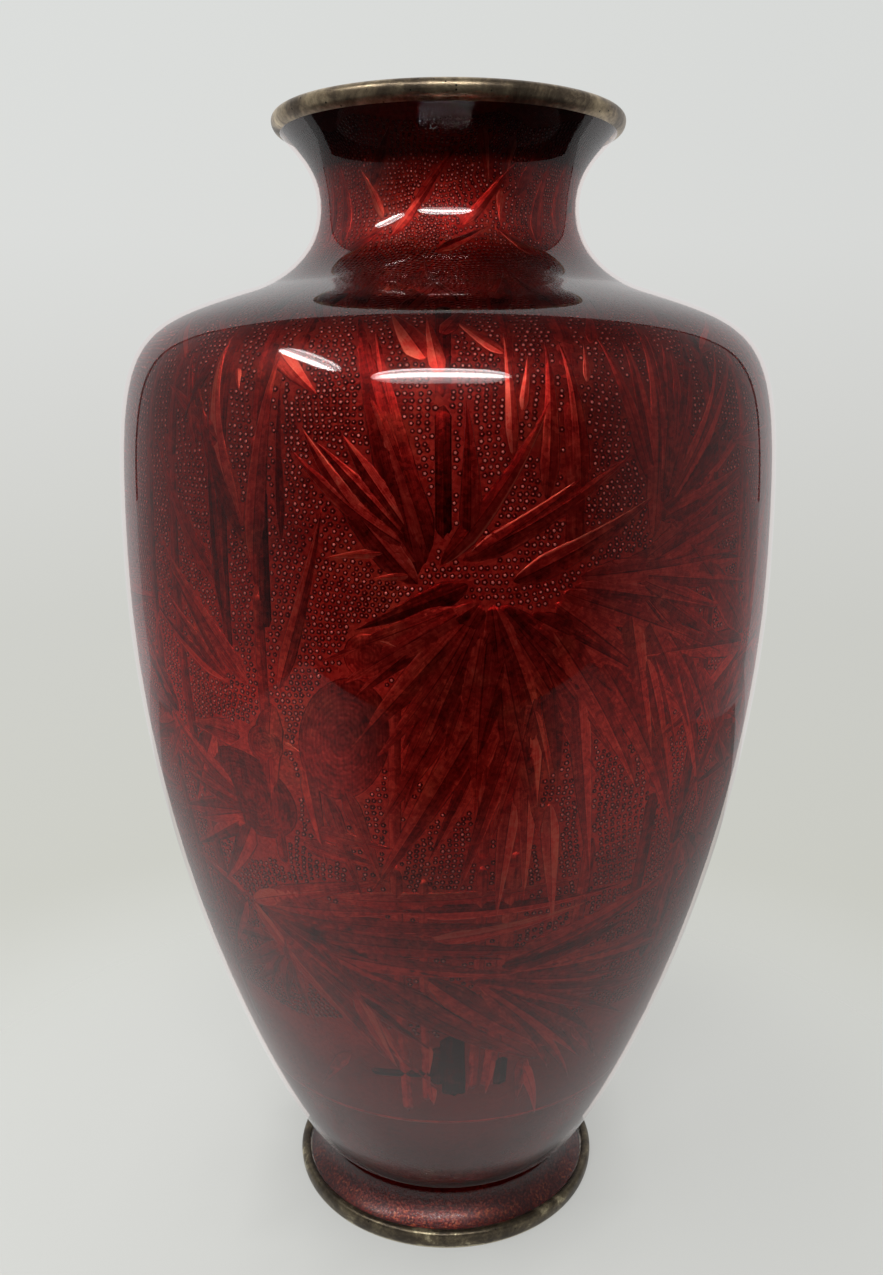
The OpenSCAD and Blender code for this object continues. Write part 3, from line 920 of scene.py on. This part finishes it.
# ---- stage

def stage_object(name, verts, faces, material, camera=False, glossy=True, diffuse=True, attributes=None):
    """A mesh of the stage, seen by the chosen kinds of ray. It casts no shadow."""
    obj = new_object(name, verts, faces, material, None, attributes=attributes)
    obj.visible_camera = camera
    obj.visible_glossy = glossy
    obj.visible_diffuse = diffuse
    obj.visible_shadow = False


def glow(name, strength=None, colour=(1, 1, 1)):
    """Plain light, of the strength that is given or of each point's own."""
    m = Nodes(name)
    strength = m.attribute("light") if strength is None else strength
    return m.done(m.node("Emission", Color=(*colour, 1), Strength=strength).outputs[0])


def floor_material():
    """Pale translucent paper, softly lit from below, that fades out into the backdrop's light."""
    m = Nodes("floor_paper")
    lit = m.node("BsdfDiffuse", Color=(0.34, 0.345, 0.335, 1))
    own = m.node("Emission", Color=(1.0, 1.0, 0.965, 1), Strength=0.27)
    paper = m.node("AddShader")
    m.feed(paper.inputs[0], lit.outputs[0])
    m.feed(paper.inputs[1], own.outputs[0])
    away = m.node("VectorMath", operation="LENGTH")
    m.feed(away.inputs[0], m.place())
    fade = m.spread(away.outputs["Value"], FADE_FROM, FADE_TO, interpolation="SMOOTHSTEP")
    return m.done(m.blend(fade, paper.outputs[0], m.node("BsdfTransparent").outputs[0]))


FLOOR_R, FLOOR_STEPS = 0.28, 96
FADE_FROM, FADE_TO = 0.08, 0.27
floor_turns = [i * 2 * math.pi / FLOOR_STEPS for i in range(FLOOR_STEPS)]
floor_verts = [(0, 0, 0)] + [(FLOOR_R * math.cos(a), FLOOR_R * math.sin(a), 0) for a in floor_turns]
floor_faces = [(0, 1 + i, 1 + (i + 1) % FLOOR_STEPS) for i in range(FLOOR_STEPS)]
stage_object("floor", floor_verts, floor_faces, floor_material(), camera=True, glossy=False, diffuse=False)

# The table as the glaze mirrors it, with its light and shade painted: its light falls off round the vase, a
# painted shadow lies round the foot, and a painted soft shade lies in front.
SHEET_ROWS, SHEET_COLUMNS = 34, 43
xs, ys = np.meshgrid(np.linspace(-0.42, 0.42, SHEET_COLUMNS), np.linspace(-0.42, 0.236, SHEET_ROWS))
away = np.hypot(xs, ys)
left_side = 0.5 - 0.5 * np.tanh(xs / 0.15)
light = 0.70 * (0.75 + 0.42 * left_side) * np.exp(-np.clip(away - 0.1, 0, None) / 0.35)
into_shade = np.clip((-ys - 0.05) / 0.26, 0, 1)
shade_width = 0.15 + 0.5 * np.clip(-ys - 0.2, 0, None)
light = light * (1 - np.exp(-(((xs - 0.015) / shade_width) ** 4)) * into_shade ** 2 * (3 - 2 * into_shade))
# Painted shadow: the table's light is dimmed in a spot round the vase's foot.
light = light * (1 - 0.75 * np.exp(-(((away / 0.05) ** 4))))
sheet_verts = np.stack([xs, ys, np.zeros_like(xs)], -1).reshape(-1, 3)
stage_object("table_sheet", sheet_verts, grid_faces(SHEET_ROWS, SHEET_COLUMNS),
             glow("table_glow", colour=(1, 1, 0.98)), attributes={"light": light.ravel()})

# The backdrop stands behind the vase, with an arched top and a darker gap round it.
ARCH_HALF, ARCH_POINTS = 0.45, 31
arch_x = np.linspace(-ARCH_HALF, ARCH_HALF, ARCH_POINTS)
arch_z = 0.52 + 0.48 * np.sqrt(np.clip(1 - (arch_x / ARCH_HALF) ** 2, 0, 1))
for name, wider, y, foot_z, taller, paper in [
    ("backdrop", 1.0, 0.28, 0.02, 1.0, glow("backdrop_glow", 0.70)),
    ("dark_gap", 1.07, 0.285, 0.16, 1.05, glow("gap_dark", 0.06)),
]:
    arch = [(x * wider, y, foot_z) for x in arch_x]
    arch.extend((x * wider, y, z * taller) for x, z in zip(arch_x, arch_z))
    stage_object(name, arch, grid_faces(2, ARCH_POINTS), paper)


def one_sided_dark():
    """Black from above and clear from below."""
    m = Nodes("shade_dark")
    black, clear = m.node("Emission", Color=(0, 0, 0, 1), Strength=0.0), m.node("BsdfTransparent")
    return m.done(m.blend(m.node("NewGeometry").outputs["Backfacing"], black.outputs[0], clear.outputs[0]))


# Painted reflection: a dark sheet over the front of the shoulder, which the flare of the neck mirrors instead
# of the table.
SHADE_POINTS = 50
ways = np.radians(np.linspace(-98, 98, SHADE_POINTS))
shade_rings = [(0.072, 0.245), (0.13, 0.236)]
shade_verts = [(r * math.sin(w), -r * math.cos(w), z) for r, z in shade_rings for w in ways]
shade_faces = [f[::-1] for f in grid_faces(2, SHADE_POINTS)]
stage_object("shoulder_shade", shade_verts, shade_faces, one_sided_dark())


def panel(name, centre, size_x, size_y, radiance):
    """A soft ceiling light that the glaze doesn't mirror."""
    light = bpy.data.lights.new(name, "AREA")
    light.shape = "RECTANGLE"
    light.size, light.size_y = size_x, size_y
    light.energy = radiance * math.pi * size_x * size_y
    obj = bpy.data.objects.new(name, light)
    obj.location = centre
    obj.visible_glossy = False
    bpy.context.scene.collection.objects.link(obj)


LAMP_POINTS = 41
LAMP_PEAK = 25
END_FADE = 0.22  # share of a lamp's half length in which it fades out


def lamp(name, centre, along, across, length, width, bands):
    """The same light as the glaze mirrors it: bands of light across its width, fading to pointed ends."""
    w, v = np.meshgrid(*[np.linspace(-1, 1, LAMP_POINTS)] * 2, indexing="ij")
    taper = (1 - np.abs(w) ** 3.5) ** 0.6
    verts = (np.array(centre) + np.array(along) * (w * length / 2)[..., None]
             + np.array(across) * (v * taper * width / 2)[..., None])
    at, level = zip(*bands)
    light = LAMP_PEAK * np.interp(v, at, level) * np.clip((1 - np.abs(w)) / END_FADE, 0, 1) ** 0.8
    stage_object(name, verts.reshape(-1, 3), grid_faces(LAMP_POINTS, LAMP_POINTS), glow(name), diffuse=False,
                 attributes={"light": light.ravel()})


panel("panel_front", (-0.1, -2.1, 1.75), 1.9, 0.5, 16)
panel("panel_side", (-1.35, -0.92, 1.75), 0.4, 1.5, 6.5)
panel("panel_over", (0.1, 0.1, 1.9), 1.6, 1.6, 1.3)
lamp("lamp_front", (-0.1, -2.1, 1.74), (1, 0, 0), (0, 1, 0), 1.96, 0.84,
     [(-1, 0), (-0.9, 0.1), (-0.15, 0.25), (0, 1), (0.45, 1), (0.58, 0.3), (0.7, 0.25), (0.8, 0.7),
      (0.9, 0.6), (1, 0)])
lamp("lamp_side", (-1.35, -0.92, 1.74), (0, 1, 0), (1, 0, 0), 1.28, 0.36,
     [(-1, 0), (-0.93, 0.3), (-0.75, 1), (-0.2, 1), (-0.05, 0.35), (0.45, 0.22), (0.6, 0.6), (0.75, 0.5),
      (0.9, 0.1), (1, 0)])

world = Nodes("studio", bpy.data.worlds, "OutputWorld")
bpy.context.scene.world = world.owner


def by_direction(part, stops):
    """A colour, or a share of light, that changes with one part of the direction, from -1 to 1."""
    direction = world.node("SeparateXYZ", Vector=world.node("TexCoord").outputs["Generated"])
    stops = [((at + 1) / 2, light if isinstance(light, tuple) else (light,) * 3) for at, light in stops]
    return world.ramp(world.spread(direction.outputs[part], -1, 1), stops)


def background(part, stops, dimmed_along, dimmed):
    """Light whose colour follows one part of the direction, times a share that follows another part."""
    colour = world.mix(1.0, by_direction(part, stops), by_direction(dimmed_along, dimmed), blend="MULTIPLY")
    return world.node("Background", Color=colour).outputs[0]


# Seen behind the vase, the paper is a little brighter higher up. What the vase mirrors is a dim room: dark
# in front, pale at the sides and behind.
seen = background("Z", [
    (-0.67, (0.70, 0.71, 0.68)), (-0.52, (0.65, 0.66, 0.62)), (-0.4, (0.625, 0.63, 0.58)),
    (-0.2, (0.63, 0.635, 0.60)), (-0.03, (0.68, 0.685, 0.665)), (0.1, (0.72, 0.73, 0.715)),
    (0.3, (0.72, 0.735, 0.72)),
], "X", [(-0.45, 1), (0.45, 0.94)])
unseen = background("Y", [
    (-1, 0.0), (-0.72, 0.01), (-0.5, 0.12), (-0.26, 0.22), (0, 0.25), (0.42, 0.31), (0.57, 0.42),
    (0.75, 0.55), (1, 0.6),
], "Z", [(-1, 1), (0.58, 1), (0.84, 0.28), (1, 0.2)])
world.done(world.blend(world.node("LightPath").outputs["Is Camera Ray"], unseen, seen))

bpy.context.scene.view_settings.view_transform = "Standard"

# ---- camera

PITCH, YAW, ROLL = math.radians(13.10), 0.00494, 0.001376
CAMERA_PLACE = (0, -0.3181, 0.2379)
camera_data = bpy.data.cameras.new("camera")
camera_data.sensor_width, camera_data.lens = 36, 32.743
camera = bpy.data.objects.new("camera", camera_data)
bpy.context.scene.collection.objects.link(camera)
camera.matrix_world = (
    Matrix.Translation(CAMERA_PLACE)
    @ Matrix.Rotation(YAW, 4, "Z")
    @ Matrix.Rotation(math.radians(90) - PITCH, 4, "X")
    @ Matrix.Rotation(ROLL, 4, "Z")
)
bpy.context.scene.camera = camera
